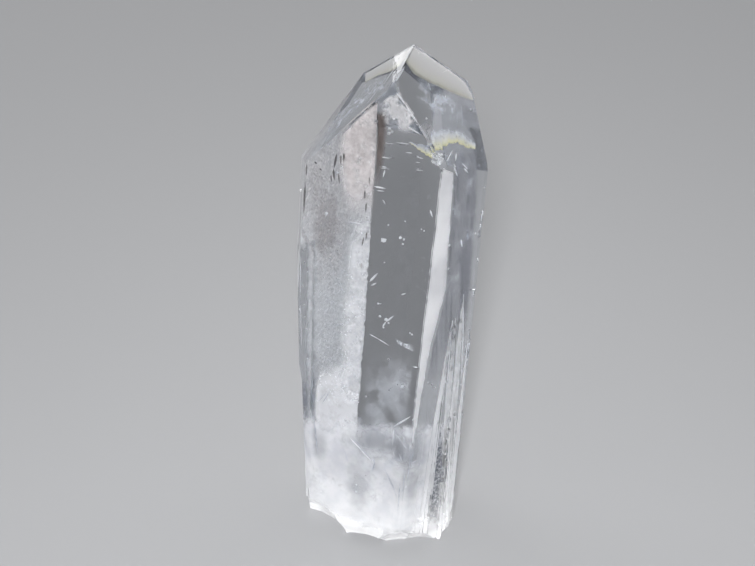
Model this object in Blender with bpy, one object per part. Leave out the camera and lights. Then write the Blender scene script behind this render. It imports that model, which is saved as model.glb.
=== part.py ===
"""A clear quartz crystal standing on its broken base, as one solid.

Metres, +Z up, front towards -Y. The origin is the middle of the bounding box's bottom. The crystal is
drawn about its own long axis (c axis) and then leaned, because its broken base isn't square to it.
"""
from math import cos, radians, sin, sqrt

import bmesh
import bpy
from mathutils import Matrix, Vector

MM = 0.001

# Stance of the long axis over the flat spot that it stands on
LEAN_RIGHT_DEG = 3.46
LEAN_BACK_DEG = 3.0

# Crystal faces: azimuth of the outward normal (0 is right, 90 is back), its angle from the long axis,
# and the face's distance from the foot of the axis in mm
PRISM_FACES = {
    "left_strip": (189.8, 89.55, 12.79),
    "front": (246.2, 89.05, 7.84),
    "right_front": (300.6, 90.6, 10.52),
    "right": (10.9, 89.9, 10.19),
    "back": (67.7, 91.5, 9.2),
    "back_left": (128.35, 91.25, 7.95),
}
POINT_FACES = {
    "left_rhomb": (183.4, 51.06, 44.65),
    "right_rhomb": (312.3, 52.95, 44.55),
    "back_rhomb": (68.8, 50.9, 45.4),
    "small_front": (247.5, 52.34, 46.99),
    "small_right": (7.1, 49.7, 50.0),
    "steep_right_upper": (8.0, 62.0, 39.0),
    "steep_right_lower": (9.0, 79.8, 20.55),
}

# Wedges broken off the lower left edge, as the planes that bound each: azimuth, angle, distance in mm.
# The sign is +1 where the wedge lies outside the plane and -1 where it lies inside.
LEFT_WEDGES = {
    "left_bevel": ((228.5, 89.6, 9.62, 1), (271.0, 61.0, 23.83, -1)),
    "left_taper": ((181.0, 93.2, 10.45, 1),),
    "left_foot": ((183.0, 100.8, 6.97, 1), (177.0, 94.5, 9.37, 1)),
}

# Parallel growth on the right front face: tip across and height, foot across, foot half width and
# how far the foot stands out, all in mm, measured on the face
BLADES = (
    (3.45, 36.4, 2.25, 0.62, 0.50),
    (3.95, 37.0, 5.00, 0.55, 0.62),
    (4.80, 40.5, 6.20, 0.60, 0.52),
    (4.30, 27.0, 5.65, 0.30, 0.80),
    (2.90, 26.0, 1.45, 0.28, 0.34),
    (0.75, 21.0, 0.30, 0.35, 0.26),
)
BLADE_FOOT_HEIGHT = -3.0
BLADE_TIP_SHARE = 0.12
TIP_SINK = 0.16

# Broken base: centre and radius of each shell-shaped scoop in mm, about the foot of the axis
BASE_SCOOPS = (
    (4.2, -13.8, -2.6, 7.3),
    (-12.5, -8.5, -2.5, 9.6),
    (-3.2, -14.0, -8.2, 11.8),
    (6.9, -12.6, -3.2, 6.85),
    (14.6, -7.6, -1.0, 5.0),
    (13.2, 9.6, -3.2, 7.0),
    (-7.6, 9.4, -3.6, 7.2),
    (2.6, 14.8, -2.0, 6.2),
    (17.0, 2.0, -4.5, 7.4),
)

# Chips on edges and corners: centre and radius in mm, in the crystal's own axes
EDGE_CHIPS = (
    (5.8, -11.3, 60.6, 2.30),
    (0.1, -0.45, 73.25, 1.45),
    (12.2, -6.0, 33.6, 1.15),
    (-13.3, 0.9, 51.3, 1.05),
    (9.9, 7.8, 27.0, 1.70),
    (10.2, 6.8, 45.5, 1.45),
)

# Short growth dashes: across, height and half length in mm, on each face that has them
GROWTH_DASHES = {
    "front": (
        (1.2, 60.9, 0.70), (3.1, 61.3, 0.95), (4.9, 60.2, 0.80),
        (2.0, 59.3, 0.55), (5.6, 58.6, 0.60), (0.9, 57.6, 0.65)),
    "right": (
        (-2.6, 50.5, 1.50), (1.9, 47.2, 1.80), (-1.1, 43.0, 1.30), (2.6, 36.8, 1.60),
        (-2.4, 31.5, 1.90), (1.0, 26.4, 1.40), (-1.8, 19.0, 1.70), (2.2, 13.3, 1.50)),
    "back": (
        (-6.4, 30.2, 1.30), (-5.2, 24.1, 1.60), (-6.6, 19.4, 1.20), (-4.6, 13.0, 1.70),
        (-5.8, 36.5, 1.10)),
}
DASH_HALF_HEIGHT = 0.17
DASH_DEPTH = 0.16

# How far the middle of a bite in a face lies outside it, so that its widest ring isn't in the face
LENS_RISE = 0.03

BLOCK_SIZE = 240.0


def plane(azimuth, angle, distance):
    """The point and outward normal of a face, in the crystal's own axes, in metres."""
    turn, tilt = radians(azimuth), radians(angle)
    normal = Vector((sin(tilt) * cos(turn), sin(tilt) * sin(turn), cos(tilt)))
    return normal * distance * MM, normal


def slice_off(bm, point, normal):
    """Cuts away what lies outside a plane and closes the cut with one flat face."""
    whole = bm.verts[:] + bm.edges[:] + bm.faces[:]
    cut = bmesh.ops.bisect_plane(
        bm, geom=whole, dist=1e-7, plane_co=point, plane_no=normal, clear_outer=True)
    rim = [part for part in cut["geom_cut"] if isinstance(part, bmesh.types.BMEdge)]
    if rim:
        bmesh.ops.edgeloop_fill(bm, edges=rim)


def block():
    """A cube primitive larger than the crystal, to be cut down by planes."""
    bm = bmesh.new()
    bmesh.ops.create_cube(bm, size=BLOCK_SIZE * MM)
    return bm


def quartz_material():
    material = bpy.data.materials.new("clear_quartz")
    material.use_nodes = True
    shader = material.node_tree.nodes["Principled BSDF"]
    shader.inputs["Base Color"].default_value = (0.96, 0.97, 0.99, 1.0)
    shader.inputs["Roughness"].default_value = 0.04
    shader.inputs["Metallic"].default_value = 0.0
    shader.inputs["IOR"].default_value = 1.544
    shader.inputs["Transmission Weight"].default_value = 1.0
    return material


def add_object(bm, name, collection, parent):
    bmesh.ops.recalc_face_normals(bm, faces=bm.faces[:])
    mesh = bpy.data.meshes.new(name)
    bm.to_mesh(mesh)
    bm.free()
    made = bpy.data.objects.new(name, mesh)
    collection.objects.link(made)
    made.parent = parent
    return made


def add_tool(crystal, bm, name, collection, parent, operation="DIFFERENCE"):
    """Adds a hidden cutter, or a growth to be joined, with its Boolean on the crystal."""
    tool = add_object(bm, name, collection, parent)
    tool.hide_render = True
    tool.display_type = "WIRE"
    modifier = crystal.modifiers.new(name, "BOOLEAN")
    modifier.operation = operation
    modifier.solver = "EXACT"
    modifier.object = tool
    return tool


def face_frame(face, across, height, rise=0.0):
    """A frame on a prism face: X across it, Y outward, Z up the face, at a place given in mm."""
    point, normal = plane(*PRISM_FACES[face])
    side = Vector((-normal.y, normal.x, 0.0)).normalized()
    up = side.cross(-normal).normalized()
    if up.z < 0.0:
        up.negate()
    height_on_face = (height * MM - point.z) / up.z
    origin = point + side * across * MM + up * height_on_face + normal * rise * MM
    frame = Matrix((side, normal, up)).transposed().to_4x4()
    frame.translation = origin
    return frame


def crystal_body():
    bm = block()
    for face in (*PRISM_FACES.values(), *POINT_FACES.values()):
        slice_off(bm, *plane(*face))
    return bm


def wedge(planes):
    """The convex piece that a set of facets takes off an edge."""
    bm = block()
    for azimuth, angle, distance, sign in planes:
        point, normal = plane(azimuth, angle, distance)
        slice_off(bm, point, normal * -sign)
    return bm


def blade(tip_across, tip_height, foot_across, half_width, stand_out):
    """A long flat-topped ridge that narrows upward and sinks into the face at its tip."""
    foot = face_frame("right_front", foot_across, BLADE_FOOT_HEIGHT).translation
    tip_frame = face_frame("right_front", tip_across, tip_height, rise=-stand_out * TIP_SINK)
    tip = tip_frame.translation
    along = (tip - foot).normalized()
    outward = tip_frame.col[1].to_3d()
    side = outward.cross(along).normalized()
    frame = Matrix((side, along.cross(side), along)).transposed().to_4x4()
    frame.translation = (tip + foot) / 2.0
    bm = bmesh.new()
    bmesh.ops.create_cone(
        bm, cap_ends=True, segments=6, radius1=1.0, radius2=BLADE_TIP_SHARE, depth=(tip - foot).length)
    flat_reach = cos(radians(30.0))
    bmesh.ops.scale(bm, vec=(half_width * MM, stand_out * MM / flat_reach, 1.0), verts=bm.verts[:])
    bmesh.ops.transform(bm, matrix=frame, verts=bm.verts[:])
    return bm


def scoop(x, y, z, radius, segments=22):
    bm = bmesh.new()
    centre = Matrix.Translation(Vector((x, y, z)) * MM)
    bmesh.ops.create_uvsphere(
        bm, u_segments=segments, v_segments=segments // 2, radius=radius * MM, matrix=centre)
    return bm


def lens(bm, frame, half_length, half_height, depth, segments=10):
    """A shallow oval bite, added to a mesh of such bites."""
    made = bmesh.ops.create_uvsphere(bm, u_segments=segments, v_segments=segments // 2, radius=1.0)
    size = Matrix.Diagonal((half_length * MM, depth * MM, half_height * MM, 1.0))
    bmesh.ops.transform(bm, matrix=frame @ size, verts=made["verts"])


def growth_dashes(face):
    bm = bmesh.new()
    for across, height, half_length in GROWTH_DASHES[face]:
        frame = face_frame(face, across, height, rise=LENS_RISE)
        lens(bm, frame, half_length, DASH_HALF_HEIGHT, DASH_DEPTH)
    return bm


def floor_block():
    bm = bmesh.new()
    below = Matrix.Translation((0.0, 0.0, -BLOCK_SIZE / 2.0 * MM))
    bmesh.ops.create_cube(bm, size=BLOCK_SIZE * MM, matrix=below)
    return bm


def lean_matrix():
    """Turns the crystal's own axes to how it stands."""
    right, back = sin(radians(LEAN_RIGHT_DEG)), sin(radians(LEAN_BACK_DEG))
    axis = Vector((right, back, sqrt(1.0 - right * right - back * back)))
    side = (Vector((1.0, 0.0, 0.0)) - axis * axis.x).normalized()
    return Matrix((side, axis.cross(side), axis)).transposed().to_4x4()


def build():
    for old in list(bpy.data.objects):
        bpy.data.objects.remove(old)
    parts = bpy.data.collections.new("quartz_crystal")
    cutters = bpy.data.collections.new("cutters")
    bpy.context.scene.collection.children.link(parts)
    bpy.context.scene.collection.children.link(cutters)
    stand = bpy.data.objects.new("stand", None)
    long_axis = bpy.data.objects.new("long_axis", None)
    parts.objects.link(stand)
    parts.objects.link(long_axis)
    long_axis.parent = stand
    long_axis.matrix_local = lean_matrix()

    crystal = add_object(crystal_body(), "quartz_crystal", parts, long_axis)
    crystal.data.materials.append(quartz_material())

    for name, planes in LEFT_WEDGES.items():
        add_tool(crystal, wedge(planes), name, cutters, long_axis)
    for index, sizes in enumerate(BLADES):
        add_tool(crystal, blade(*sizes), f"blade_{index}", cutters, long_axis, "UNION")
    for face in GROWTH_DASHES:
        add_tool(crystal, growth_dashes(face), f"{face}_dashes", cutters, long_axis)
    for index, chip in enumerate(EDGE_CHIPS):
        add_tool(crystal, scoop(*chip, segments=14), f"edge_chip_{index}", cutters, long_axis)
    add_tool(crystal, floor_block(), "floor_block", cutters, stand)
    for index, shell in enumerate(BASE_SCOOPS):
        add_tool(crystal, scoop(*shell), f"base_scoop_{index}", cutters, stand)

    bpy.context.view_layer.update()
    shape = crystal.evaluated_get(bpy.context.evaluated_depsgraph_get())
    corners = [shape.matrix_world @ v.co for v in shape.data.vertices]
    low = Vector(min(c[i] for c in corners) for i in range(3))
    high = Vector(max(c[i] for c in corners) for i in range(3))
    stand.location = (-(low.x + high.x) / 2.0, -(low.y + high.y) / 2.0, -low.z)


build()
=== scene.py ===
"""Looks of the clear quartz crystal: its fine surface, what is inside it, the light and the camera.

Metres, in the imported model's frame: +Z up, the photograph's side towards -Y. Places and sizes are given
in mm. What is inside the crystal is placed by the photograph's pixels and a depth in mm under the skin.
"""
import random
from math import cos, pi, radians, sin, sqrt

import bmesh
import bpy
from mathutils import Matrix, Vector, noise
from mathutils.bvhtree import BVHTree

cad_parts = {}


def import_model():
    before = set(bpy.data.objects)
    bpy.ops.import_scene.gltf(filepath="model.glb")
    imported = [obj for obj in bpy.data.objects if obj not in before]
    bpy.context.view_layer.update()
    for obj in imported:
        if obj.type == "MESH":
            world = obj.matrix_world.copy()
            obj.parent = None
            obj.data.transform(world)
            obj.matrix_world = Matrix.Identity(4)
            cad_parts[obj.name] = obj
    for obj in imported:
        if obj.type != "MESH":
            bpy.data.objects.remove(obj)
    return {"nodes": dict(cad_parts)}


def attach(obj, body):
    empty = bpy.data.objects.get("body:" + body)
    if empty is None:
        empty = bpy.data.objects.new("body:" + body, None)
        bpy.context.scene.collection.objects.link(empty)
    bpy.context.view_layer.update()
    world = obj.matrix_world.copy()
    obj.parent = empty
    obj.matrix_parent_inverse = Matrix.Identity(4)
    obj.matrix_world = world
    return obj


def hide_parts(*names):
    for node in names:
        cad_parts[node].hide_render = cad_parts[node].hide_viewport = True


MM = 0.001
NODE = "quartz_crystal"

# Camera, from the photograph's perspective
PHOTO_WIDTH_PX = 755
PHOTO_HEIGHT_PX = 566
FOCAL_PX = 1440.0
SENSOR_MM = 36.0
CAMERA_PLACE_MM = (-1.56, -173.87, 135.87)
CAMERA_DOWN_DEG = 29.5

# Light, in metres and watts
WORLD_STRENGTH = 2.1
FLOOR_SIDE = 24.0
FLOOR_ALBEDO = (0.208, 0.210, 0.215, 1.0)
KEY_AIM, KEY_SIZE = (0.0, 0.0, 0.036), (0.06, 0.06)
PANEL_AIM, PANEL_SIZE = (0.0, 0.0, 0.03), (0.70, 0.50)

# Quartz: its glass values, and how steeply the top of the cloud in it slopes down to the back
QUARTZ_IOR = 1.544
QUARTZ_ABSORPTION = (0.725, 0.742, 0.768, 1.0)
QUARTZ_DENSITY = 62.0
CLEAR = (0.985, 0.99, 1.0)
WHITE = (1.0, 1.0, 1.0)
CLOUD_SLOPE = 0.455

# The crystal's shape: its long axis, and how closely a face's normal has to agree with a direction
LONG_AXIS = Vector((0.0603, 0.0523, 0.9968)).normalized()
AXIS_FOOT_MM = Vector((0.3, -1.2, 0.0))
FACE_COSINE = 0.998
CUT_SLACK = 1e-7

# Its worn edges: those that are sharp, long and between large faces
EDGE_WEAR_MM = 0.06
WORN_ANGLE_DEG = 16.0
WORN_LENGTH_MM = 1.2
WORN_AREA_MM2 = 1.5

# Its broken base: how high it goes, how far down its faces look, and its scales
BREAK_TOP_MM = 6.0
BREAK_NORMAL_Z = -0.12
ROUGH_NORMAL_Z = -0.05
LAND_TOP_MM = 0.03
SCALE_EDGE_MM = 0.5
SCALE_SIZE_MM = 0.8
SCALE_DEPTH_MM = 0.13
SCALE_STRAY_MM = 0.05

# Its frosted back left face, which is clear at its top right and its lower left
BACK_LEFT_NORMAL = Vector((cos(radians(128.3)), sin(radians(128.3)), -0.03)).normalized()
FROST_COSINE = 0.80
GRAIN_SPACING_MM = 0.34
GRAIN_DEPTH_MM = 0.10
FROST_FADE_MM = 0.9
CLEAR_TOP_X_MM, CLEAR_TOP_Z_MM = -3.1, 53.0
CLEAR_SIDE_X_MM, CLEAR_SIDE_Z_MM = -9.1, 43.0

# Where the frosted face is smokier: centre and radii in mm, and how smoky
SMOKE_MM = (
    ((-7.0, 5.8, 45.5), (3.0, 5.0, 6.2), 0.80), ((-8.6, 4.2, 51.5), (2.0, 3.6, 5.6), 0.62),
    ((-6.6, 5.8, 47.5), (5.0, 7.0, 11.5), 0.46),
)

# The milky foot's shells: their depth under the skin and their top in mm, and how opaque they are. Then
# their rings and steps, the height under which their sides stop following the skin, and their least depth
MILK_SHELLS = ((0.5, 25.5, 0.62), (1.9, 25.0, 0.85), (3.5, 24.0, 0.95))
SHELL_RINGS, SHELL_STEPS = 26, 84
HEM_TOP_MM = 4.8
MILK_DEPTH_MM = 0.3

# How much noise a pixel's step is worth, along a sheet's rims and across it
RIM_STEP, WAVE_STEP = 0.35, 0.14

# A sliver's two rings, as shares of its length and its width, and a way that no sliver points
SLIVER_RINGS = ((0.3, 1.0), (0.7, 0.8))
SLIVER_SIDE = Vector((0.31, 0.87, 0.38))

# Sparkles: left, right and y of their area's top and foot, in pixels
SPARKLE_TOP = (319.0, 369.0, 226.0)
SPARKLE_FOOT = (315.0, 358.0, 402.0)


def smooth_noise(place_mm, size_mm):
    """Soft noise from -1 to 1 with lumps about size_mm across."""
    return noise.noise(Vector(place_mm) / size_mm)


def camera():
    data = bpy.data.cameras.new("camera")
    data.sensor_width = SENSOR_MM
    data.lens = SENSOR_MM * FOCAL_PX / PHOTO_WIDTH_PX
    data.clip_start = 0.005
    made = bpy.data.objects.new("camera", data)
    made.location = Vector(CAMERA_PLACE_MM) * MM
    made.rotation_euler = (radians(90.0 - CAMERA_DOWN_DEG), 0.0, 0.0)
    bpy.context.scene.collection.objects.link(made)
    bpy.context.scene.camera = made


def area_light(name, place, aim, size, watts, through=True, spread_deg=180.0):
    """A soft lamp. through is whether its bright shape shows through the quartz."""
    data = bpy.data.lights.new(name, "AREA")
    data.shape = "RECTANGLE"
    data.size, data.size_y = size
    data.energy = watts
    data.spread = radians(spread_deg)
    made = bpy.data.objects.new(name, data)
    made.location = place
    made.rotation_euler = (Vector(aim) - Vector(place)).to_track_quat("-Z", "Y").to_euler()
    made.visible_camera = False
    made.visible_transmission = through
    bpy.context.scene.collection.objects.link(made)


def world():
    """A soft studio, brightest low down all round, so that upright faces are lit more than the floor."""
    made = bpy.data.worlds.new("studio")
    made.use_nodes = True
    nodes, links = made.node_tree.nodes, made.node_tree.links
    background = nodes["Background"]
    place = nodes.new("ShaderNodeTexCoord")
    split = nodes.new("ShaderNodeSeparateXYZ")
    ramp = nodes.new("ShaderNodeValToRGB")
    greys = ((0.0, 1.0), (0.30, 0.92), (0.55, 0.30), (1.0, 0.20))
    set_stops(ramp, [(position, (grey * 0.985, grey * 0.99, grey)) for position, grey in greys])
    links.new(place.outputs["Generated"], split.inputs["Vector"])
    links.new(split.outputs["Z"], ramp.inputs["Fac"])
    links.new(ramp.outputs["Color"], background.inputs["Color"])
    background.inputs["Strength"].default_value = WORLD_STRENGTH
    bpy.context.scene.world = made


def floor():
    bpy.ops.mesh.primitive_plane_add(size=FLOOR_SIDE, location=(0.0, 0.0, 0.0))
    made = bpy.context.object
    made.name = "floor"
    material = bpy.data.materials.new("floor")
    material.use_nodes = True
    shader = material.node_tree.nodes["Principled BSDF"]
    shader.inputs["Base Color"].default_value = FLOOR_ALBEDO
    shader.inputs["Roughness"].default_value = 0.9
    shader.inputs["Specular IOR Level"].default_value = 0.15
    made.data.materials.append(material)


def set_stops(node, stops):
    """Gives a colour ramp node its (position, colour) stops."""
    elements = node.color_ramp.elements
    while len(elements) < len(stops):
        elements.new(0.5)
    for element, (position, colour) in zip(elements, stops):
        element.position = position
        element.color = (*colour, 1.0)


class Look:
    """A Principled material, with short ways to add the node patterns that drive it."""

    def __init__(self, name, colour, roughness, transmission=0.0):
        self.material = bpy.data.materials.new(name)
        self.material.use_nodes = True
        self.nodes = self.material.node_tree.nodes
        self.links = self.material.node_tree.links
        self.shader = self.nodes["Principled BSDF"]
        self.set("Base Color", (*colour, 1.0))
        self.set("Roughness", roughness)
        self.set("IOR", QUARTZ_IOR)
        self.set("Transmission Weight", transmission)
        self.place = self.nodes.new("ShaderNodeTexCoord").outputs["Object"]

    def set(self, socket, value):
        self.shader.inputs[socket].default_value = value

    def drive(self, socket, output):
        self.links.new(output, self.shader.inputs[socket])

    def feed(self, socket, value):
        if isinstance(value, bpy.types.NodeSocket):
            self.links.new(value, socket)
        else:
            socket.default_value = value

    def math(self, operation, first, second):
        node = self.nodes.new("ShaderNodeMath")
        node.operation = operation
        self.feed(node.inputs[0], first)
        self.feed(node.inputs[1], second)
        return node.outputs["Value"]

    def blend(self, share, first, second):
        """first where share is 0, second where it is 1, for numbers."""
        node = self.nodes.new("ShaderNodeMix")
        for index, value in zip((0, 2, 3), (share, first, second)):
            self.feed(node.inputs[index], value)
        return node.outputs[0]

    def blend_colour(self, share, first, second):
        """first where share is 0, second where it is 1, for colours."""
        node = self.nodes.new("ShaderNodeMix")
        node.data_type = "RGBA"
        self.feed(node.inputs["Factor"], share)
        for socket, value in ((node.inputs["A"], first), (node.inputs["B"], second)):
            self.feed(socket, (*value, 1.0) if isinstance(value, tuple) else value)
        return node.outputs["Result"]

    def attribute(self, name):
        node = self.nodes.new("ShaderNodeAttribute")
        node.attribute_name = name
        return node.outputs["Fac"]

    def split(self, vector):
        """The X, Y and Z of a vector."""
        node = self.nodes.new("ShaderNodeSeparateXYZ")
        self.links.new(vector, node.inputs["Vector"])
        return [node.outputs[axis] for axis in "XYZ"]

    def stretched(self, scale):
        mapping = self.nodes.new("ShaderNodeMapping")
        mapping.inputs["Scale"].default_value = scale
        self.links.new(self.place, mapping.inputs["Vector"])
        return mapping.outputs["Vector"]

    def noise(self, size_mm, detail=3.0, rough=0.55, vector=None):
        node = self.nodes.new("ShaderNodeTexNoise")
        node.inputs["Scale"].default_value = 1.0 / (size_mm * MM)
        node.inputs["Detail"].default_value = detail
        node.inputs["Roughness"].default_value = rough
        self.links.new(vector or self.place, node.inputs["Vector"])
        return node.outputs["Fac"]

    def ramp(self, value, low, high, out_low=0.0, out_high=1.0):
        """A soft step from out_low to out_high as the value goes from low to high."""
        node = self.nodes.new("ShaderNodeMapRange")
        node.interpolation_type = "SMOOTHSTEP"
        for socket, number in (("From Min", low), ("From Max", high), ("To Min", out_low), ("To Max", out_high)):
            node.inputs[socket].default_value = number
        self.links.new(value, node.inputs["Value"])
        return node.outputs["Result"]

    def colours(self, value, stops):
        node = self.nodes.new("ShaderNodeValToRGB")
        set_stops(node, stops)
        self.links.new(value, node.inputs["Fac"])
        return node.outputs["Color"]

    def outside(self, centre_mm, radii_mm, least=0.0):
        """A least value at a place, rising softly to 1 outside a lumpy egg-shaped space round it."""
        mapping = self.nodes.new("ShaderNodeMapping")
        mapping.vector_type = "POINT"
        mapping.inputs["Location"].default_value = [-c / r for c, r in zip(centre_mm, radii_mm)]
        mapping.inputs["Scale"].default_value = [1.0 / (r * MM) for r in radii_mm]
        length = self.nodes.new("ShaderNodeVectorMath")
        length.operation = "LENGTH"
        self.links.new(self.place, mapping.inputs["Vector"])
        self.links.new(mapping.outputs["Vector"], length.inputs[0])
        lumpy = self.math("ADD", length.outputs["Value"], self.noise(1.7, 4.0, 0.6))
        return self.ramp(lumpy, 0.80, 1.85, least, 1.0)

    def sheet_shares(self):
        """Shares of a sheet: from its first column to its last, and from its lower line to its upper."""
        return self.split(self.nodes.new("ShaderNodeUVMap").outputs["UV"])[:2]

    def fade_out(self, value, fades):
        """A value that fades out over these shares of a sheet: at its first and its last column, and at
        its upper and its lower line."""
        across, up = self.sheet_shares()
        ends = across, self.math("SUBTRACT", 1.0, across), self.math("SUBTRACT", 1.0, up), up
        for share, width in zip(ends, fades):
            if width:
                value = self.math("MULTIPLY", value, self.ramp(share, 0.0, width))
        return value

    def wavering_height(self, size_mm):
        """A sheet's share from its lower line to its upper, with a wave of up to 0.3 added."""
        return self.math("ADD", self.sheet_shares()[1], self.math("MULTIPLY", self.noise(size_mm, 3.0), 0.30))

    def bump(self, value, strength, distance_mm):
        node = self.nodes.new("ShaderNodeBump")
        node.inputs["Strength"].default_value = strength
        node.inputs["Distance"].default_value = distance_mm * MM
        self.links.new(value, node.inputs["Height"])
        self.drive("Normal", node.outputs["Normal"])


def quartz(windows):
    """Clear faces, the frosted back left face, and the white broken base, as one glassy material."""
    look = Look("quartz", CLEAR, 0.0, 1.0)
    etched, broken = look.attribute("etched"), look.attribute("broken")
    grain = look.noise(0.42, 5.0, 0.7)
    fine = look.noise(0.16, 2.0, 0.6)
    blotch = look.noise(5.0, 4.0, 0.6)
    height = look.split(look.place)[2]

    # Milk in the skin near the base, starting in patches
    edge = look.math("ADD", height, look.math("MULTIPLY", look.noise(3.4, 5.0, 0.62), 10.0 * MM))
    milk = look.ramp(edge, 5.0 * MM, 20.0 * MM, 0.26, 0.0)
    for centre, radii, least in windows:
        milk = look.math("MULTIPLY", milk, look.outside(centre, radii, least))
    for more in (
            look.ramp(edge, 6.0 * MM, 12.5 * MM, 0.42, 0.0), look.ramp(height, 0.8 * MM, 4.2 * MM, 0.52, 0.0),
            look.math("MULTIPLY", broken, 0.50)):
        milk = look.math("MAXIMUM", milk, more)

    # The frosted face is whitest low down, and greyer and faintly pink-brown high up
    uneven_height = look.math("ADD", height, look.math("MULTIPLY", blotch, 20.0 * MM))
    lift = look.ramp(uneven_height, 46.0 * MM, 70.0 * MM, 0.0, 0.50)
    for centre, radii, strength in SMOKE_MM:
        lift = look.math("MAXIMUM", lift, look.ramp(look.outside(centre, radii), 0.0, 1.0, strength, 0.0))
    tint = look.colours(lift, ((0.0, WHITE), (0.4, (0.88, 0.845, 0.835)), (1.0, (0.30, 0.24, 0.23))))
    speckle = look.ramp(look.math("ADD", grain, look.math("MULTIPLY", fine, 0.5)), 0.62, 0.92)
    body = look.math("MULTIPLY", speckle, 0.22)
    see_through = look.math("SUBTRACT", look.blend(lift, 0.62, 0.88), body)

    look.drive("Base Color", look.blend_colour(milk, look.blend_colour(etched, CLEAR, tint), (0.82, 0.82, 0.84)))
    look.drive("Transmission Weight", look.blend(milk, look.blend(etched, 1.0, see_through), 0.18))
    look.drive("Roughness", look.blend(milk, look.blend(etched, 0.0, look.blend(grain, 0.35, 0.9)), 0.42))
    ripple = look.math("MULTIPLY", look.noise(1.1, 2.0), 0.05)
    rows = look.math("MULTIPLY", look.noise(1.0, 2.0, 0.5, look.stretched((0.10, 0.10, 1.6))), 0.10)
    scale = look.math("MULTIPLY", look.noise(1.3, 5.0, 0.65), broken)
    grit = look.math("MULTIPLY", fine, look.math("MULTIPLY", etched, 0.9))
    total = look.math("ADD", look.math("ADD", ripple, rows), look.math("ADD", scale, grit))
    look.bump(total, 0.5, 0.10)

    absorb = look.nodes.new("ShaderNodeVolumeAbsorption")
    absorb.inputs["Color"].default_value = QUARTZ_ABSORPTION
    absorb.inputs["Density"].default_value = QUARTZ_DENSITY
    look.links.new(absorb.outputs["Volume"], look.nodes["Material Output"].inputs["Volume"])
    return look.material


def cloudy(name, cover, windows):
    """White cloud in wisps, with smoky windows left in it. Its top slopes down to the back, as the
    camera's view does inside the quartz."""
    look = Look(name, (0.95, 0.955, 0.975), 0.6)
    cloud = look.noise(3.6, 6.0, 0.64)
    _, back, height = look.split(look.place)
    slope = look.math("ADD", height, look.math("MULTIPLY", back, CLOUD_SLOPE))
    rise = look.ramp(slope, 13.0 * MM, 18.6 * MM, 0.0, 0.50)
    alpha = look.ramp(look.math("SUBTRACT", cloud, rise), 0.16, 0.46, 0.0, cover)
    look.drive("Base Color", look.blend_colour(
        look.ramp(look.noise(2.2, 4.0, 0.6), 0.36, 0.64), (0.80, 0.81, 0.85), (0.97, 0.97, 0.98)))
    for centre, radii, least in windows:
        alpha = look.math("MULTIPLY", alpha, look.outside(centre, radii, least))
    look.drive("Alpha", alpha)
    return look.material


def wispy(name, colour, cover, size_mm, low, high, fades=(0.32, 0.32, 0.32, 0.32), grain=None):
    """A thin veil, broken up by noise: clear where it's under low, and as opaque as cover over high.

    fades are fade_out's, and grain is a second colour in small spots."""
    look = Look(name, colour, 0.55)
    if grain:
        look.drive("Base Color", look.blend_colour(look.ramp(look.noise(0.42, 4.0, 0.7), 0.38, 0.62), colour, grain))
    cloud = look.ramp(look.noise(size_mm, 5.0, 0.6), low, high, 0.0, cover)
    look.drive("Alpha", look.fade_out(cloud, fades))
    return look.material


def smoky(name):
    """Faint dark growth lines along the crystal, with a bluish haze between them."""
    look = Look(name, (0.2, 0.22, 0.27), 0.5)
    lines = look.noise(1.0, 3.0, 0.6, look.stretched((1.0, 1.0, 0.03)))
    cloud = look.noise(2.6, 5.0, 0.6)
    look.drive("Base Color", look.blend_colour(look.ramp(cloud, 0.50, 0.72), (0.13, 0.14, 0.18), (0.62, 0.66, 0.74)))
    patchy = look.blend(look.ramp(lines, 0.36, 0.60), 0.22, 0.52)
    look.drive("Alpha", look.fade_out(patchy, (0.06, 0.3, 0.05, 0.25)))
    return look.material


def streaky(least):
    """White growth planes with thinner lines between them, along the crystal."""
    look = Look("streaks", (0.96, 0.965, 0.98), 0.4)
    lines = look.noise(0.8, 3.0, 0.6, look.stretched((1.0, 1.0, 0.022)))
    look.drive("Alpha", look.ramp(lines, 0.30, 0.42, least, 0.98))
    look.drive("Base Color", look.blend_colour(
        look.noise(0.3, 2.0, 0.5, look.stretched((1.0, 1.0, 0.04))), (0.88, 0.885, 0.91), WHITE))
    return look.material


def grainy_gap():
    """Dark broken quartz between the blades, full of small pale grains."""
    look = Look("gap", (0.2, 0.21, 0.24), 0.5)
    grains = look.ramp(look.noise(0.45, 4.0, 0.7), 0.44, 0.66)
    look.drive("Base Color", look.blend_colour(grains, (0.13, 0.14, 0.17), (0.80, 0.81, 0.85)))
    look.drive("Alpha", look.ramp(look.noise(1.2), 0.25, 0.45, 0.65, 0.95))
    return look.material


def painted_edge_reflection():
    """A painted reflection: the smooth white plane beside the front edge stands in for the light seen in the right face
    there, a little brighter in places.
    """
    look = Look("edge_reflection", (0.93, 0.93, 0.95), 0.3)
    look.drive("Base Color", look.blend_colour(
        look.ramp(look.noise(7.0, 2.0), 0.35, 0.65), (0.80, 0.80, 0.82), (0.96, 0.96, 0.97)))
    look.drive("Alpha", look.ramp(look.noise(0.9, 4.0, 0.6), 0.05, 0.42, 0.7, 0.97))
    return look.material


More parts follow.
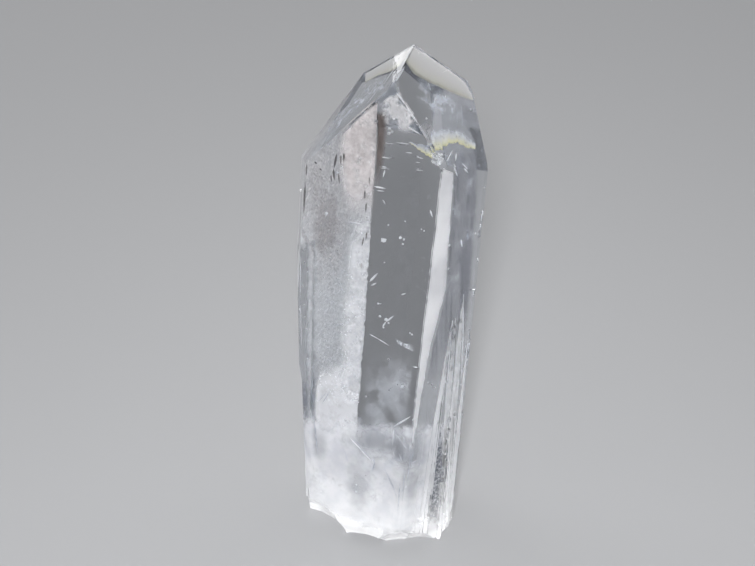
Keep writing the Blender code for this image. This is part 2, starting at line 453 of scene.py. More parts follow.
def painted_tip_reflection(name, painted_shade):
    """A painted reflection: the pale cream plane under the point's upper faces, standing in for the light reflected
    inside the point, yellowish along its lower rim.

    Its last argument is a painted shade: how much darker its colour is made at its last column, to tone down the light
    that the small face over it catches."""
    look = Look(name, (0.8, 0.8, 0.78), 0.35)
    waver = look.wavering_height(1.6)
    cream = look.colours(look.math("SUBTRACT", waver, 0.15), (
        (0.0, (0.52, 0.51, 0.43)), (0.25, (0.57, 0.565, 0.53)), (0.5, (0.60, 0.595, 0.59)), (1.0, (0.66, 0.655, 0.66))))
    # Painted shade: darker towards the last column, against the lamp's light on the small face over it
    look.drive("Base Color", look.blend_colour(
        look.ramp(look.sheet_shares()[0], 0.66, 0.86, 0.0, painted_shade), cream, (0.16, 0.155, 0.15)))
    look.drive("Alpha", look.ramp(waver, 0.0, 0.30, 0.30, 0.96))
    return look.material


def rainbow(name, least):
    """The crack that shines whitish at its upper rim, where least of it is left, and yellow at its lower."""
    look = Look(name, (0.9, 0.9, 0.9), 0.18)
    waver = look.wavering_height(0.9)
    look.drive("Base Color", look.colours(look.math("SUBTRACT", waver, 0.15), (
        (0.0, (0.78, 0.75, 0.42)), (0.20, (0.80, 0.79, 0.58)), (0.40, (0.78, 0.78, 0.73)),
        (0.70, (0.66, 0.69, 0.74)), (1.0, (0.52, 0.55, 0.65)))))
    solid = look.ramp(look.noise(0.7, 4.0, 0.6), 0.24, 0.50, 0.35, 0.96)
    look.drive("Alpha", look.math("MULTIPLY", solid, look.ramp(waver, 0.72, 1.15, 1.0, least)))
    return look.material


def bright():
    """Broken glints: hard little faces of white."""
    look = Look("glint", (0.98, 0.985, 1.0), 0.25)
    look.drive("Base Color", look.blend_colour(look.noise(0.5, 2.0), (0.86, 0.88, 0.93), WHITE))
    return look.material


def uneven(name, dark, light):
    """A crack's colour, darker and lighter along it."""
    look = Look(name, dark, 0.5)
    look.drive("Base Color", look.blend_colour(look.ramp(look.noise(0.6), 0.35, 0.65), dark, light))
    return look.material


def finish(made, replaces=False):
    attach(made, "root")
    if replaces:
        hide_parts(NODE)


def add_piece(name, bm, material, smooth=True):
    bmesh.ops.recalc_face_normals(bm, faces=bm.faces[:])
    mesh = bpy.data.meshes.new(name)
    bm.to_mesh(mesh)
    bm.free()
    mesh.materials.append(material)
    if smooth:
        mesh.shade_smooth()
    made = bpy.data.objects.new(name, mesh)
    bpy.context.scene.collection.objects.link(made)
    finish(made)


def wear_edges(bm):
    """Rounds the sharp long edges between large faces a little."""
    worn = [
        e for e in bm.edges
        if len(e.link_faces) == 2 and e.calc_face_angle(0.0) > radians(WORN_ANGLE_DEG)
        and e.calc_length() > WORN_LENGTH_MM * MM
        and all(f.calc_area() > WORN_AREA_MM2 * MM * MM for f in e.link_faces)]
    bmesh.ops.bevel(
        bm, geom=worn, offset=EDGE_WEAR_MM * MM, offset_type="OFFSET", segments=2, profile=0.5,
        affect="EDGES", clamp_overlap=True)


def roughen_base(bm, draw):
    """Cuts the broken base into finer faces and pushes them in and out, but never below the floor."""
    low_faces = [
        f for f in bm.faces
        if f.calc_center_median().z < (BREAK_TOP_MM - 0.5) * MM and f.normal.z < BREAK_NORMAL_Z]
    low_edges = list(dict.fromkeys(e for f in low_faces for e in f.edges if e.calc_length() > SCALE_EDGE_MM * MM))
    bmesh.ops.subdivide_edges(bm, edges=low_edges, cuts=3, use_grid_fill=True)
    bm.normal_update()
    rough = [v for v in bm.verts if v.co.z > LAND_TOP_MM * MM and v.link_faces and all(
        f.normal.z < ROUGH_NORMAL_Z and f.calc_center_median().z < (BREAK_TOP_MM + 0.5) * MM
        for f in v.link_faces)]
    for v in rough:
        push = SCALE_DEPTH_MM * smooth_noise(v.co / MM, SCALE_SIZE_MM) + SCALE_STRAY_MM * (draw.random() - 0.5)
        v.co += v.normal * push * MM
        v.co.z = max(v.co.z, 0.0)


def cut_grid(bm, normal, spacing):
    """Cuts the faces that look along a normal into a grid of small ones, and returns them."""

    def faces_along():
        return [f for f in bm.faces if f.normal.dot(normal) > FACE_COSINE]

    side = Vector((-normal.y, normal.x, 0.0)).normalized()
    for axis in (side, normal.cross(side).normalized()):
        spots = [v.co.dot(axis) for f in faces_along() for v in f.verts]
        low, high = min(spots), max(spots)
        count = int((high - low) / spacing)
        for step in range(1, count):
            at = low + step * (high - low) / count
            across = []
            for face in faces_along():
                offsets = [v.co.dot(axis) - at for v in face.verts]
                if min(offsets) < -CUT_SLACK and max(offsets) > CUT_SLACK:
                    across.append(face)
            parts = list(dict.fromkeys(part for f in across for part in (f, *f.edges, *f.verts)))
            bmesh.ops.bisect_plane(bm, geom=parts, dist=1e-8, plane_co=axis * at, plane_no=axis)
    return faces_along()


def frost_share(place):
    """How frosted the back left face is at a place, 0 to 1."""
    x, _, z = place / MM
    stray = smooth_noise(place / MM, 1.1)
    into_top = min(z - CLEAR_TOP_Z_MM - stray, x - CLEAR_TOP_X_MM - 0.6 * stray)
    into_side = min(CLEAR_SIDE_Z_MM + 2.0 * stray - z, CLEAR_SIDE_X_MM + 0.4 * stray - x)
    return min(max(0.5 - max(into_top, into_side) / FROST_FADE_MM, 0.0), 1.0)


def grain_face(bm, draw):
    """Turns the frosted face into a grid of tiny facets."""
    frosted = cut_grid(bm, BACK_LEFT_NORMAL, GRAIN_SPACING_MM * MM)
    bm.verts.index_update()
    for v in sorted({v for f in frosted for v in f.verts}, key=lambda v: v.index):
        rim = any(f.normal.dot(BACK_LEFT_NORMAL) <= FACE_COSINE for f in v.link_faces)
        depth = 0.5 + 0.5 * smooth_noise(v.co / MM, 0.9) + 0.7 * draw.random()
        v.co -= BACK_LEFT_NORMAL * depth * GRAIN_DEPTH_MM * (0.5 if rim else 1.0) * frost_share(v.co) * MM


def mark_faces(bm):
    """Marks the frosted and the broken faces for the quartz material, and makes all faces flat."""
    etched = bm.loops.layers.float.new("etched")
    broken = bm.faces.layers.float.new("broken")
    for face in bm.faces:
        face.smooth = False
        face.material_index = 0
        on_back_left = face.normal.dot(BACK_LEFT_NORMAL) > FROST_COSINE
        for loop in face.loops:
            loop[etched] = frost_share(loop.vert.co) if on_back_left else 0.0
        in_break = face.calc_center_median().z < BREAK_TOP_MM * MM and face.normal.z < BREAK_NORMAL_Z
        face[broken] = 1.0 if in_break else 0.0


def crystal(node):
    """The crystal itself: worn edges, a grainy frosted face and a scaly broken base."""
    made = bpy.data.objects.new("crystal", node.data.copy())
    bpy.context.scene.collection.objects.link(made)
    bm = bmesh.new()
    bm.from_mesh(made.data)
    bmesh.ops.remove_doubles(bm, verts=bm.verts, dist=1e-6)
    bmesh.ops.dissolve_limit(bm, angle_limit=radians(0.5), verts=bm.verts, edges=bm.edges)
    draw = random.Random(5)
    wear_edges(bm)
    roughen_base(bm, draw)
    grain_face(bm, draw)
    bmesh.ops.triangulate(bm, faces=bm.faces[:])
    bm.normal_update()
    mark_faces(bm)
    bm.to_mesh(made.data)
    bm.free()
    made.data.materials.clear()
    made.data.materials.append(quartz(foot_windows(0.0)))
    finish(made, replaces=True)


def inside(x, y, depth):
    """The place depth mm inside the crystal, along the bent ray through a pixel of the photograph."""
    turn = radians(CAMERA_DOWN_DEG)
    forward = Vector((0.0, cos(turn), -sin(turn)))
    down = Vector((0.0, -sin(turn), -cos(turn)))
    ray = forward * FOCAL_PX + down * (y + 0.5 - PHOTO_HEIGHT_PX / 2)
    ray.x = x + 0.5 - PHOTO_WIDTH_PX / 2
    ray.normalize()
    place, normal, _, _ = skin.ray_cast(Vector(CAMERA_PLACE_MM) * MM, ray)
    if place is None:
        raise ValueError(f"pixel {x}, {y} misses the crystal")
    cosine, share = -ray.dot(normal), 1.0 / QUARTZ_IOR
    bent = ray * share + normal * (share * cosine - sqrt(1.0 - share * share * (1.0 - cosine * cosine)))
    return place + bent * depth * MM


def level(depth, *pixels):
    """A line of (x, y, depth) points that are all at one depth."""
    return [(x, y, depth) for x, y in pixels]


def along(points, share):
    """A place on a line of (x, y, depth) points, share of the way along it."""
    spot = share * (len(points) - 1)
    first = min(int(spot), len(points) - 2)
    part = spot - first
    return [a + (b - a) * part for a, b in zip(points[first], points[first + 1])]


def astray(point, ragged, seed):
    """An (x, y, depth) point, moved by up to ragged pixels."""
    x, y, depth = point
    spot = (x * RIM_STEP, y * RIM_STEP, seed)
    return x + ragged * smooth_noise(spot, 1.0), y + ragged * smooth_noise(spot, 0.7), depth


def sheet(name, upper, lower, material, columns=30, rows=8, thick=0.06, wave=0.0, ragged=0.0):
    """A thin closed sheet between two lines of (x, y, depth) points, upper and lower in the picture.

    wave is how far in mm it buckles, and ragged is how many pixels its long rims wander."""
    rims = []
    for column in range(columns + 1):
        share = column / columns
        rims.append((astray(along(upper, share), ragged, 2.0), astray(along(lower, share), ragged, 9.0)))

    bm = bmesh.new()
    mapped = bm.loops.layers.uv.new("UVMap")
    grids, spots, faces = [], {}, []
    for back in (0.0, thick):
        grid = []
        for row in range(rows + 1):
            share = row / rows
            line = []
            for column, (high, low) in enumerate(rims):
                x, y, depth = (a + (b - a) * share for a, b in zip(high, low))
                ripple = wave * smooth_noise((x * WAVE_STEP, y * WAVE_STEP, 3.0), 1.6)
                line.append(bm.verts.new(inside(x, y, depth + ripple + back)))
                spots[line[-1]] = (column / columns, 1.0 - share)
            grid.append(line)
        grids.append(grid)
    for grid in grids:
        for high, low in zip(grid, grid[1:]):
            for column in range(columns):
                faces.append(bm.faces.new((high[column], high[column + 1], low[column + 1], low[column])))
    rim = [(0, c) for c in range(columns)] + [(r, columns) for r in range(rows)]
    rim += [(rows, c) for c in range(columns, 0, -1)] + [(r, 0) for r in range(rows, 0, -1)]
    front, rear = grids
    for (row, column), (next_row, next_column) in zip(rim, rim[1:] + rim[:1]):
        faces.append(bm.faces.new((
            front[row][column], front[next_row][next_column], rear[next_row][next_column], rear[row][column])))
    for face in faces:
        for loop in face.loops:
            loop[mapped].uv = spots[loop.vert]
    add_piece(name, bm, material)


def veil(name, upper, lower, look, **shape):
    """A sheet with a wispy material of its own. look has wispy's values from colour on."""
    sheet(name, upper, lower, wispy(name, *look), **shape)


def splinter(bm, start, end, width):
    """A long thin six-sided sliver between two places in metres, pointed at both ends."""
    way = end - start
    side = way.cross(SLIVER_SIDE).normalized()
    other = way.cross(side).normalized()
    rings = []
    for share, wide in SLIVER_RINGS:
        ring = []
        for step in range(6):
            angle = pi * step / 3.0
            spread = (side * cos(angle) + other * sin(angle) * 0.5) * width * wide * MM / 2.0
            ring.append(bm.verts.new(start + way * share + spread))
        rings.append(ring)
    tips = bm.verts.new(start), bm.verts.new(end)
    for step in range(6):
        after = (step + 1) % 6
        bm.faces.new((rings[0][step], rings[0][after], rings[1][after], rings[1][step]))
        bm.faces.new((tips[0], rings[0][after], rings[0][step]))
        bm.faces.new((tips[1], rings[1][step], rings[1][after]))


def fleck(bm, place, radius, draw):
    """A small broken chip: a jittered ball of few faces."""
    made = bmesh.ops.create_icosphere(bm, subdivisions=1, radius=radius * MM)
    for v in made["verts"]:
        v.co = v.co * (0.65 + 0.7 * draw.random())
        v.co.y *= 0.6
        v.co += place


def slivers(name, rows, material):
    """Slivers from (x, y, depth) to (x, y, depth) with a width in mm."""
    bm = bmesh.new()
    for start, end, width in rows:
        splinter(bm, inside(*start), inside(*end), width)
    add_piece(name, bm, material, smooth=False)


def flecks(name, rows, material, seed):
    """Chips at (x, y, depth) with a radius in mm."""
    draw = random.Random(seed)
    bm = bmesh.new()
    for x, y, depth, radius in rows:
        fleck(bm, inside(x, y, depth), radius, draw)
    add_piece(name, bm, material, smooth=False)


def sparkles(count, seed):
    """Rows for tiny white chips in front of the frost, a painted sparkle, closer together towards its lower right."""
    draw = random.Random(seed)
    rows = []
    for _ in range(count):
        down, over = sqrt(draw.random()), draw.random() ** 0.85
        left, right, y = (a + (b - a) * down for a, b in zip(SPARKLE_TOP, SPARKLE_FOOT))
        depth, radius = 0.6 + 0.5 * draw.random(), 0.06 + 0.12 * draw.random() ** 3
        rows.append((left + (right - left) * over, y, depth, radius))
    return rows


def axis_point(height_mm):
    """The middle of the crystal at a height, in mm."""
    return AXIS_FOOT_MM + LONG_AXIS * (height_mm / LONG_AXIS.z)


def reach(height_mm, angle):
    """How far the skin is from the middle at a height and a compass angle, in mm."""
    hit = skin.ray_cast(axis_point(height_mm) * MM, Vector((cos(angle), sin(angle), 0.0)))
    return hit[3] / MM if hit[3] is not None else 0.0


def milk_shell(name, inset, top, seed, material):
    """One cloudy shell in the foot: its sides follow the crystal's, and its top is low and lumpy."""
    bm = bmesh.new()
    rows = []
    low = 0.7 + inset * 0.6
    for ring in range(SHELL_RINGS):
        # Its top rounds in, and so does its hem, over the lowest 4 mm
        share = ring / (SHELL_RINGS - 1)
        height = low + share * (top - low)
        shrink = max(1.0 - max(0.0, share - 0.80) ** 2 * 20.0, 0.12)
        hem = max(0.0, 1.0 - height / 4.0)
        row = []
        for step in range(SHELL_STEPS):
            angle = 2.0 * pi * step / SHELL_STEPS
            lump = smooth_noise((3.0 * cos(angle) + seed, 3.0 * sin(angle), height * 0.8), 1.3)
            lift = 1.3 * smooth_noise((2.0 * cos(angle), 2.0 * sin(angle) + seed, 0.0), 0.9) * share ** 2
            wide = min(reach(max(height, HEM_TOP_MM), angle) - inset - 0.35 * (1.0 + lump) - 2.4 * hem,
                       reach(height, angle) - MILK_DEPTH_MM)
            out = Vector((cos(angle), sin(angle), 0.0)) * max(0.4, wide * shrink)
            row.append(bm.verts.new((axis_point(height + lift) + out) * MM))
        rows.append(row)
    for low_row, high_row in zip(rows, rows[1:]):
        for step in range(SHELL_STEPS):
            after = (step + 1) % SHELL_STEPS
            bm.faces.new((low_row[step], low_row[after], high_row[after], high_row[step]))
    caps = [bm.faces.new(rows[0]), bm.faces.new(rows[-1])]
    bmesh.ops.triangulate(bm, faces=caps)
    add_piece(name, bm, material)


def foot_windows(depth):
    """Where the smoky windows in the foot lie at a depth, with their radii in mm and how much milk is left."""
    return [(inside(*pixel, depth) / MM, radii, least) for pixel, radii, least in FOOT_WINDOWS]


def milk():
    """The cloudy foot, as shells one inside another, with the smoky windows seen through them."""
    for index, (inset, top, cover) in enumerate(MILK_SHELLS):
        look = cloudy(f"milk_{index}", cover, foot_windows(inset + 0.6))
        milk_shell(f"milk_{index}", inset, top, 7.0 * index, look)


def fan():
    """The fan of white blades, with a wedge left between the first two for the dark gap."""
    first_streaks, streaks = streaky(0.90), streaky(0.72)
    for index, (tip, foot_left, foot_right) in enumerate(BLADES):
        deep = 0.70 + 0.08 * index
        middle, bulge = (tip[1] + foot_left[1]) / 2, 0.5 if index else -1.0
        sheet(
            f"blade_{index}",
            level(deep, (tip[0] - 0.3, tip[1]), (foot_left[0] * 0.5 + tip[0] * 0.5 - 2.0, middle), foot_left),
            level(deep, (tip[0] + 0.3, tip[1]), (foot_right[0] * 0.5 + tip[0] * 0.5 + bulge, middle), foot_right),
            streaks if index else first_streaks, columns=40, rows=6, ragged=0.5)


def render_settings():
    scene = bpy.context.scene
    scene.view_settings.view_transform = "Standard"
    scene.cycles.max_bounces = 32
    scene.cycles.transmission_bounces = 32
    scene.cycles.glossy_bounces = 16
    scene.cycles.diffuse_bounces = 6
    scene.cycles.transparent_max_bounces = 32
    scene.cycles.use_denoising = True
    scene.cycles.blur_glossy = 0.2


# Slivers of light in the clear part: dashes, ticks, a cross of cracks, lines in the foot, and painted highlights: two
# glints and lines along the point's ridge edge
SLIVERS = (
    ((384, 142.5, 0.25), (393, 143.3, 0.25), 0.16), ((396, 142.0, 0.25), (409, 143.6, 0.25), 0.20),
    ((381, 156.6, 0.25), (390, 157.8, 0.25), 0.22), ((405, 152.0, 0.3), (412, 153.0, 0.3), 0.14),
    ((416, 156.4, 0.3), (423, 158.2, 0.3), 0.17), ((415, 161.6, 0.3), (420, 162.4, 0.3), 0.14),
    ((380, 167.6, 0.3), (389, 168.6, 0.3), 0.14), ((415, 169.4, 0.3), (423, 170.3, 0.3), 0.14),
    ((373.5, 186.0, 0.6), (385.5, 188.2, 0.6), 0.34), ((376, 190.0, 0.7), (384, 190.8, 0.7), 0.22),
    ((347, 221.0, 0.8), (361, 223.4, 0.8), 0.22), ((429.5, 209, 1.2), (432.0, 217, 1.2), 0.26),
    ((403.5, 124.0, 1.0), (421.0, 134.6, 1.0), 0.24), ((405.0, 127.0, 1.3), (413.0, 129.4, 1.3), 0.16),
    ((384.5, 169.0, 1.5), (382.5, 177.0, 1.5), 0.20), ((382, 199, 2.0), (385, 204, 2.0), 0.18),
    ((368.8, 281.5, 1.6), (377.4, 272.4, 1.6), 0.34), ((370.5, 285.0, 1.6), (376.0, 282.4, 1.6), 0.26),
    ((385.5, 321.5, 3.0), (393.5, 315.0, 3.0), 0.30), ((382.0, 326.5, 3.0), (385.5, 321.0, 3.0), 0.24),
    ((349.5, 437.5, 0.9), (361.0, 449.5, 0.9), 0.34), ((359.5, 448.5, 0.9), (371.5, 461.0, 0.9), 0.30),
    # Painted highlight: three white slivers just under the point's ridge edge, standing in for the light that edge
    # catches
    ((395.6, 91.5, 0.18), (405.0, 104.8, 0.18), 0.22), ((404.2, 103.6, 0.18), (418.0, 123.8, 0.18), 0.24),
    ((417.2, 122.4, 0.18), (430.6, 142.4, 0.18), 0.24),
    ((376.5, 303.0, 2.6), (381.5, 303.4, 2.6), 0.20), ((400.5, 294.4, 2.6), (405.5, 292.8, 2.6), 0.22),
    ((368.5, 333.4, 2.0), (379.0, 339.0, 2.2), 0.20), ((377.0, 338.0, 2.2), (389.0, 345.4, 2.4), 0.26),
    # Painted glints: two short white slivers where bright glints show on the right side
    ((460.5, 238.5, 1.0), (461.6, 247.0, 1.0), 0.30), ((481.4, 211.5, 0.6), (480.6, 221.0, 0.6), 0.26),
    ((392.5, 426.5, 2.0), (410.8, 415.6, 2.0), 0.30), ((393.4, 428.0, 2.0), (391.8, 446.0, 2.0), 0.26),
    ((395.0, 433.0, 2.2), (408.0, 451.0, 2.2), 0.22), ((398.0, 452.0, 2.0), (408.0, 464.0, 2.0), 0.20),
    ((386.5, 472.0, 1.2), (398.0, 494.0, 1.2), 0.30), ((389.5, 476.0, 1.2), (396.0, 498.0, 1.2), 0.24),
    ((402.5, 482.0, 1.2), (398.5, 511.0, 1.2), 0.24), ((408.0, 470.0, 1.2), (403.0, 500.0, 1.2), 0.20),
    ((371.0, 458.0, 1.0), (375.0, 468.0, 1.0), 0.26), ((374.8, 460.0, 1.0), (370.8, 473.0, 1.0), 0.20),
    ((446.0, 161.0, 1.0), (452.0, 150.0, 1.0), 0.26), ((453.0, 163.0, 1.0), (457.0, 176.0, 1.0), 0.30),
    ((461.0, 162.0, 1.0), (468.0, 173.0, 1.0), 0.30), ((456.0, 152.0, 1.0), (455.0, 161.0, 1.0), 0.34),
    ((435.0, 96.0, 3.0), (433.0, 105.0, 3.0), 0.34), ((439.0, 93.0, 3.0), (441.0, 101.0, 3.0), 0.30),
    ((445.0, 94.0, 3.0), (444.5, 102.0, 3.0), 0.30), ((427.5, 82.0, 2.0), (430.5, 90.0, 2.0), 0.22),
    ((395.0, 66.0, 1.0), (383.0, 84.0, 1.0), 0.30), ((380.0, 85.0, 1.0), (366.0, 104.0, 1.0), 0.20),
    ((304.0, 165.0, 0.2), (302.0, 207.0, 0.2), 0.16), ((301.9, 208.0, 0.2), (300.2, 251.0, 0.2), 0.16),
    ((300.1, 254.0, 0.2), (299.8, 300.0, 0.2), 0.14), ((299.9, 304.0, 0.2), (301.4, 348.0, 0.2), 0.12),
    ((463.0, 296.0, 0.9), (461.0, 380.0, 0.9), 0.34), ((454.8, 321.0, 0.9), (449.0, 400.0, 0.9), 0.30),
    ((451.2, 327.0, 0.9), (444.0, 420.0, 0.9), 0.26), ((456.6, 330.0, 0.9), (452.5, 420.0, 0.9), 0.24),
)

# Dark cracks in the frost: upright marks high on the left, and dashes along the rim beside the clear part
DARK_MARKS = (
    ((336.5, 153.0, 1.0), (333.5, 168.0, 1.0), 0.34), ((340.5, 154.0, 1.0), (340.0, 164.0, 1.0), 0.26),
    ((343.5, 152.0, 1.0), (343.0, 163.0, 1.0), 0.24), ((333.0, 168.0, 1.0), (333.8, 180.0, 1.0), 0.34),
    ((338.0, 172.0, 1.0), (339.0, 184.0, 1.0), 0.22), ((330.5, 174.0, 1.0), (331.0, 182.0, 1.0), 0.20),
    ((364.6, 189.0, 1.0), (363.9, 199.0, 1.0), 0.20), ((366.0, 202.0, 1.0), (365.0, 212.0, 1.0), 0.22),
    ((363.4, 236.0, 1.0), (361.2, 246.0, 1.0), 0.20), ((366.4, 231.0, 1.0), (365.2, 240.0, 1.0), 0.20),
    ((369.0, 176.0, 1.0), (368.6, 184.0, 1.0), 0.16), ((361.2, 262.0, 1.0), (360.6, 269.0, 1.0), 0.16),
    ((314.0, 161.0, 0.8), (316.5, 163.5, 0.8), 0.30), ((319.0, 168.0, 0.8), (321.5, 170.0, 0.8), 0.24),
    ((306.4, 163.0, 0.5), (305.6, 176.0, 0.5), 0.26), ((305.0, 181.0, 0.5), (303.2, 214.0, 0.5), 0.28),
)

# Grey lines that run together in the foot, and a short zigzag crack
FOOT_LINES = (
    ((384.0, 468.0, 0.3), (396.5, 496.0, 0.3), 0.16), ((399.5, 482.0, 0.3), (397.2, 512.0, 0.3), 0.22),
    ((404.8, 470.0, 0.3), (400.4, 500.0, 0.3), 0.16), ((411.0, 452.0, 0.3), (405.6, 486.0, 0.3), 0.18),
    ((390.0, 478.0, 0.3), (397.0, 500.0, 0.3), 0.12), ((413.5, 446.0, 0.3), (410.0, 470.0, 0.3), 0.14),
    ((372.0, 457.5, 0.3), (374.6, 462.0, 0.3), 0.20), ((374.4, 461.0, 0.3), (371.0, 472.5, 0.3), 0.20),
    ((313.0, 416.0, 0.3), (317.5, 456.0, 0.3), 0.20), ((344.0, 450.0, 0.3), (347.5, 462.0, 0.3), 0.12),
    ((330.0, 390.0, 0.3), (321.0, 404.0, 0.3), 0.14), ((326.0, 392.0, 0.3), (318.0, 401.0, 0.3), 0.12),
)

# Smoky windows in the milky foot: the pixel of the middle, the radii in mm, and the share of milk left
FOOT_WINDOWS = (
    ((374, 441), (4.8, 4.0, 3.0), 0.18), ((358, 482), (2.0, 4.0, 4.6), 0.40), ((400, 449), (1.6, 4.0, 4.0), 0.18),
    ((319, 441), (1.2, 3.0, 3.0), 0.50), ((436, 462), (0.9, 4.0, 4.4), 0.18), ((431.5, 498), (0.8, 4.0, 4.0), 0.18),
    ((419, 448), (1.1, 4.0, 5.0), 0.38), ((411, 486), (0.9, 4.0, 4.4), 0.55),
)

# Chips of light: x, y, depth and radius
FLECKS = (
    (383.0, 240.0, 2.5, 0.38), (381.5, 238.5, 2.5, 0.16), (400.0, 237.4, 2.5, 0.24), (403.4, 238.8, 2.5, 0.20),
    (402.4, 243.6, 2.5, 0.15), (388.0, 224.5, 2.2, 0.14), (404.6, 221.0, 2.2, 0.10), (423.5, 230.5, 2.0, 0.14),
    (421.0, 228.8, 2.0, 0.10), (384.0, 262.0, 2.2, 0.11), (411.5, 334.0, 2.0, 0.16), (409.5, 332.6, 2.0, 0.12),
    (388.0, 359.0, 2.4, 0.16), (325.8, 213.3, 0.9, 0.26), (449.0, 245.0, 1.2, 0.18), (365.5, 396.0, 2.0, 0.14),
    (448.0, 268.0, 1.2, 0.12), (470.0, 109.0, 1.0, 0.14), (475.0, 233.0, 0.8, 0.14), (484.0, 187.0, 0.5, 0.12),
    (436.5, 158.0, 0.8, 0.20), (439.5, 162.0, 0.8, 0.20), (442.5, 158.5, 0.8, 0.18), (441.0, 154.0, 0.8, 0.18),
    (437.5, 164.0, 0.7, 0.17), (445.0, 155.0, 0.9, 0.16), (389.0, 128.0, 1.6, 0.20), (391.5, 131.0, 1.6, 0.18),
    (388.5, 133.0, 1.6, 0.22), (393.5, 118.0, 2.0, 0.20), (396.0, 114.0, 2.0, 0.16), (436.5, 98.0, 3.2, 0.24),
    (440.0, 103.0, 3.2, 0.22), (426.0, 118.0, 2.4, 0.16), (341.0, 166.0, 0.6, 0.14), (337.0, 172.0, 0.6, 0.16),
    (379.6, 315.8, 3.0, 0.20), (385.6, 319.0, 3.0, 0.24), (388.2, 322.6, 3.0, 0.16), (383.0, 327.0, 3.0, 0.16),
    (377.6, 303.2, 2.6, 0.16), (304.0, 262.0, 0.8, 0.13), (307.0, 271.0, 0.8, 0.10), (302.6, 285.0, 0.7, 0.12),
    (309.0, 300.0, 0.9, 0.14), (304.4, 316.0, 0.8, 0.12), (306.0, 329.0, 0.8, 0.15), (308.4, 340.0, 0.9, 0.11),
    (303.4, 304.0, 0.7, 0.10), (311.0, 286.0, 0.9, 0.10), (307.0, 358.0, 0.8, 0.12), (305.0, 233.0, 0.8, 0.12),
    (356.0, 484.0, 1.2, 0.16), (355.4, 491.0, 1.2, 0.22), (356.4, 505.0, 1.2, 0.26), (361.0, 470.0, 1.2, 0.12),
    (460.5, 384.0, 0.8, 0.12), (431.0, 384.0, 0.9, 0.14), (434.5, 387.0, 0.9, 0.16), (427.5, 382.0, 0.9, 0.10),
)

# The fan of white blades: tip, and foot from left to right
BLADES = (
    ((452.0, 320), (417.6, 526), (428.8, 528)), ((455.0, 318), (435.6, 529), (441.6, 528)),
    ((459.0, 324), (441.4, 527), (445.4, 524)), ((463.2, 294), (445.0, 523), (448.6, 520)),
    ((467.2, 340), (448.2, 518), (451.4, 506)),
)

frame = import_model()
camera()
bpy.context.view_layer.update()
render_settings()
world()
floor()
area_light("front_key", (-0.02, -0.40, 0.262), KEY_AIM, KEY_SIZE, 0.92, through=False, spread_deg=75.0)
area_light("back_left", (-0.75, 0.55, 0.36), PANEL_AIM, PANEL_SIZE, 6.0)
area_light("right", (0.86, 0.50, 0.44), PANEL_AIM, PANEL_SIZE, 3.6)

node = frame["nodes"][NODE]
source = bmesh.new()
source.from_mesh(node.data)
skin = BVHTree.FromBMesh(source)
source.free()
crystal(node)
milk()

glint = bright()
slivers("slivers", SLIVERS, glint)
slivers("dark_marks", DARK_MARKS, uneven("dark_mark", (0.06, 0.056, 0.055), (0.19, 0.175, 0.17)))
slivers("foot_lines", FOOT_LINES, uneven("foot_line", (0.34, 0.36, 0.41), (0.55, 0.57, 0.61)))
flecks("flecks", FLECKS, glint, 3)
flecks("sparkles", sparkles(320, 11), glint, 4)

# Painted reflections: pale sheets just under the two upper faces of the point, standing in for the light reflected
# inside the point
sheet(
    "tip_left",
    level(0.2, (364.8, 73.2), (380.0, 64.5), (394.0, 56.6), (404.0, 51.0), (411.5, 46.8)),
    level(0.2, (364.2, 82.5), (378.0, 75.0), (391.0, 71.0), (399.0, 65.5), (404.5, 58.5)),
    painted_tip_reflection("tip_left", 0.55), rows=6, thick=0.05, ragged=0.25)
sheet(
    "tip_right",
    level(0.2, (413.2, 46.4), (427.0, 54.6), (441.0, 64.4), (455.0, 74.2), (464.3, 81.8), (471.4, 94.0)),
    level(0.2, (404.5, 60.5), (413.0, 73.5), (430.0, 82.5), (447.0, 90.5), (460.0, 96.0), (472.6, 100.0)),
    painted_tip_reflection("tip_right", 0.0), columns=36, rows=6, thick=0.05, ragged=0.25)

# Frost seen through the front left face: pinkish at its top right, and whitest along its lower right rim
veil(
    "frost_top",
    level(1.2, (338, 136), (335, 152), (336, 176), (340, 204), (344, 226)),
    level(1.2, (376.8, 98.5), (376.4, 126), (375.0, 158), (372.9, 196), (371.2, 222)),
    ((0.93, 0.885, 0.875), 0.8, 1.6, 0.2, 0.52, (0.05, 0.6, 0.42, 0.0), (0.7, 0.65, 0.645)),
    columns=36, ragged=0.7)
veil(
    "frost_low",
    level(1.2, (352, 205), (344, 250), (338, 300), (334, 350), (332, 404)),
    level(1.2, (372.4, 190), (369.6, 240), (366.2, 292), (362.4, 350), (357.8, 410)),
    ((0.99, 0.99, 1.0), 0.85, 2.6, 0.26, 0.58, (0.25, 0.1, 0.7, 0.0), (0.8, 0.81, 0.84)),
    columns=60, rows=10, ragged=1.3)
veil(
    "frost_foot",
    level(1.4, (316, 366), (314, 392), (313, 418), (313, 440)),
    level(1.4, (360.6, 352), (358.8, 382), (357.0, 410), (358.0, 440)),
    ((0.97, 0.97, 0.985), 0.95, 3.2, 0.22, 0.5, (0.4, 0.3, 0.12, 0.0)), columns=40, rows=10)

# Painted reflection: the white plane beside the front edge, from its top down to where it runs out
sheet(
    "painted_reflection_plane",
    level(0.35, (442.5, 168), (438.5, 194), (435.5, 228), (432, 254), (428.5, 288), (425, 314), (421.5, 345),
          (418.6, 373), (415.4, 400), (412.8, 426), (411.2, 443)),
    level(0.35, (452.8, 172), (451.8, 194), (449.4, 228), (447.0, 254), (445.2, 288), (438.6, 314), (429.8, 345),
          (425.0, 373), (420.0, 400), (415.8, 426), (412.2, 443)),
    painted_edge_reflection(), columns=60, rows=6, thick=0.05, ragged=0.9)

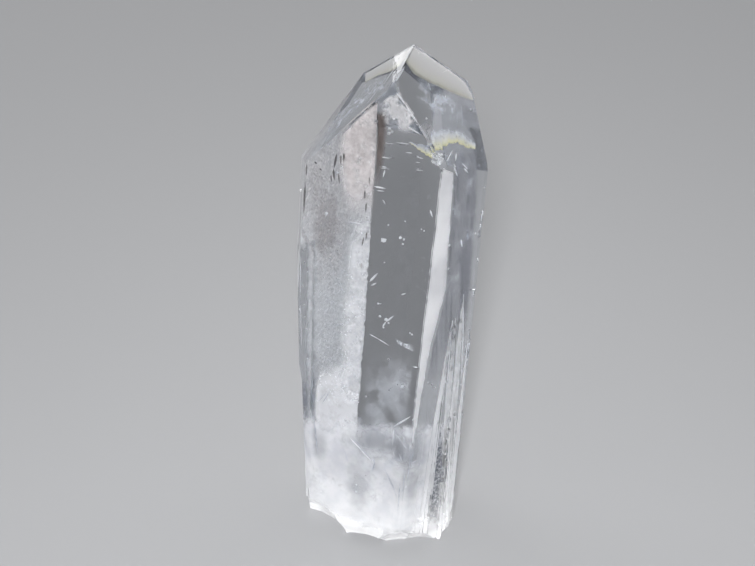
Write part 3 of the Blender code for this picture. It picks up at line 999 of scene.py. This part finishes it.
# Smoky growth lines in the right side
sheet(
    "side_lines",
    level(1.5, (454.0, 146), (453.5, 172), (452.5, 200), (450.0, 228), (447.8, 254), (446.0, 288), (440.0, 314),
          (432.0, 345), (427.0, 373), (422.0, 402)),
    level(1.5, (478.0, 146), (479.0, 172), (478.0, 200), (476.0, 228), (474.5, 254), (472.0, 288), (469.0, 314),
          (465.0, 345), (461.0, 373), (456.0, 402)),
    smoky("side_lines"), columns=50, wave=0.3)

# The fan of white blades, and the dark grainy gap between the first blade and the rest
fan()
sheet(
    "gap",
    level(0.6, (439.5, 432.0), (436.0, 458.0), (432.0, 486.0), (428.6, 516.0)),
    level(0.6, (440.6, 432.0), (441.6, 458.0), (441.0, 486.0), (436.6, 517.0)),
    grainy_gap(), columns=40, rows=6, ragged=0.6)

# The crack at the shoulder, on both sides of the edge
sheet(
    "crack_left",
    ((408.5, 141.0, 0.5), (416, 143.6, 0.7), (425, 144.6, 0.9), (434, 146.0, 0.9)),
    ((409.0, 141.8, 0.5), (416, 147.4, 0.7), (425, 154.0, 0.9), (432.0, 158.4, 0.9)),
    rainbow("crack_left", 0.85), columns=24, rows=6, thick=0.05, wave=0.25, ragged=1.6)
sheet(
    "crack_right",
    ((429.0, 130.0, 1.0), (437, 127.6, 1.1), (446, 126.4, 1.2), (455, 127.6, 1.2), (464, 131.6, 1.1),
     (474, 141.0, 0.9)),
    ((433.0, 151.5, 1.0), (439, 149.8, 1.1), (445.5, 143.8, 1.2), (456, 141.6, 1.2), (466, 146.6, 1.1),
     (475, 149.6, 0.9)),
    rainbow("crack_right", 0.0), columns=60, thick=0.05, wave=0.3, ragged=2.6)

# Veils: haze above the foot, a drift of fog, a wisp beside the line, haze in the tip and under the left of the
# point, a brown band beside the frost, a lump in the crack, and frost under the front of the point
veil(
    "haze_low",
    level(3.0, (364, 345), (390, 345), (417, 345)),
    level(3.0, (354, 440), (384, 442), (412, 442)),
    ((0.8, 0.83, 0.89), 0.34, 3.4, 0.34, 0.74))
veil(
    "fog",
    level(2.0, (392, 372), (404, 368), (415, 366)),
    level(2.0, (388, 404), (400, 406), (411, 402)),
    ((0.86, 0.89, 0.94), 0.4, 1.3, 0.4, 0.7))
veil(
    "wisp",
    level(2.4, (394.0, 336.5), (403.0, 341.5), (415.0, 344.0)),
    level(2.4, (394.5, 341.5), (403.0, 348.0), (415.5, 353.0)),
    ((0.84, 0.87, 0.92), 0.5, 0.9, 0.36, 0.62), wave=0.5)
veil(
    "tip_haze",
    ((414, 66, 2.2), (428, 74, 2.4), (446, 92, 2.4), (462, 104, 2.0)),
    ((412, 98, 2.2), (426, 112, 2.4), (446, 120, 2.4), (466, 124, 2.0)),
    ((0.76, 0.8, 0.88), 0.5, 1.2, 0.44, 0.68), wave=0.8)
veil(
    "left_haze",
    ((313, 148, 1.2), (339, 110, 1.4), (366, 85, 1.4), (386, 72, 1.2)),
    ((322, 149, 1.2), (347, 118, 1.4), (374, 96, 1.4), (391, 83, 1.2)),
    ((0.76, 0.8, 0.88), 0.55, 0.9, 0.45, 0.68, (0.2, 0.15, 0.25, 0.25)), columns=40)
veil(
    "brown_band",
    level(1.6, (377.6, 108), (377.2, 130), (376.2, 158), (374.6, 190)),
    level(1.6, (390.0, 108), (388.0, 130), (385.0, 158), (381.0, 190)),
    ((0.11, 0.08, 0.07), 0.72, 2.4, 0.12, 0.42, (0.15, 0.45, 0.0, 0.7)))
veil(
    "crack_lump",
    level(0.7, (429.5, 152.0), (435.5, 150.5), (442.0, 154.0)),
    level(0.7, (430.5, 163.0), (437.0, 167.0), (443.0, 161.0)),
    ((0.82, 0.84, 0.87), 0.85, 0.7, 0.34, 0.6, (0.2, 0.2, 0.2, 0.25)), columns=24)
veil(
    "top_frost",
    level(1.0, (377, 105), (388, 95), (396.5, 92), (404, 101), (416, 120)),
    level(1.0, (379, 116), (388, 127), (396, 134), (404, 136), (418, 134)),
    ((0.86, 0.85, 0.86), 0.85, 1.2, 0.34, 0.6, (0.2, 0.2, 0.1, 0.45)), wave=0.4)
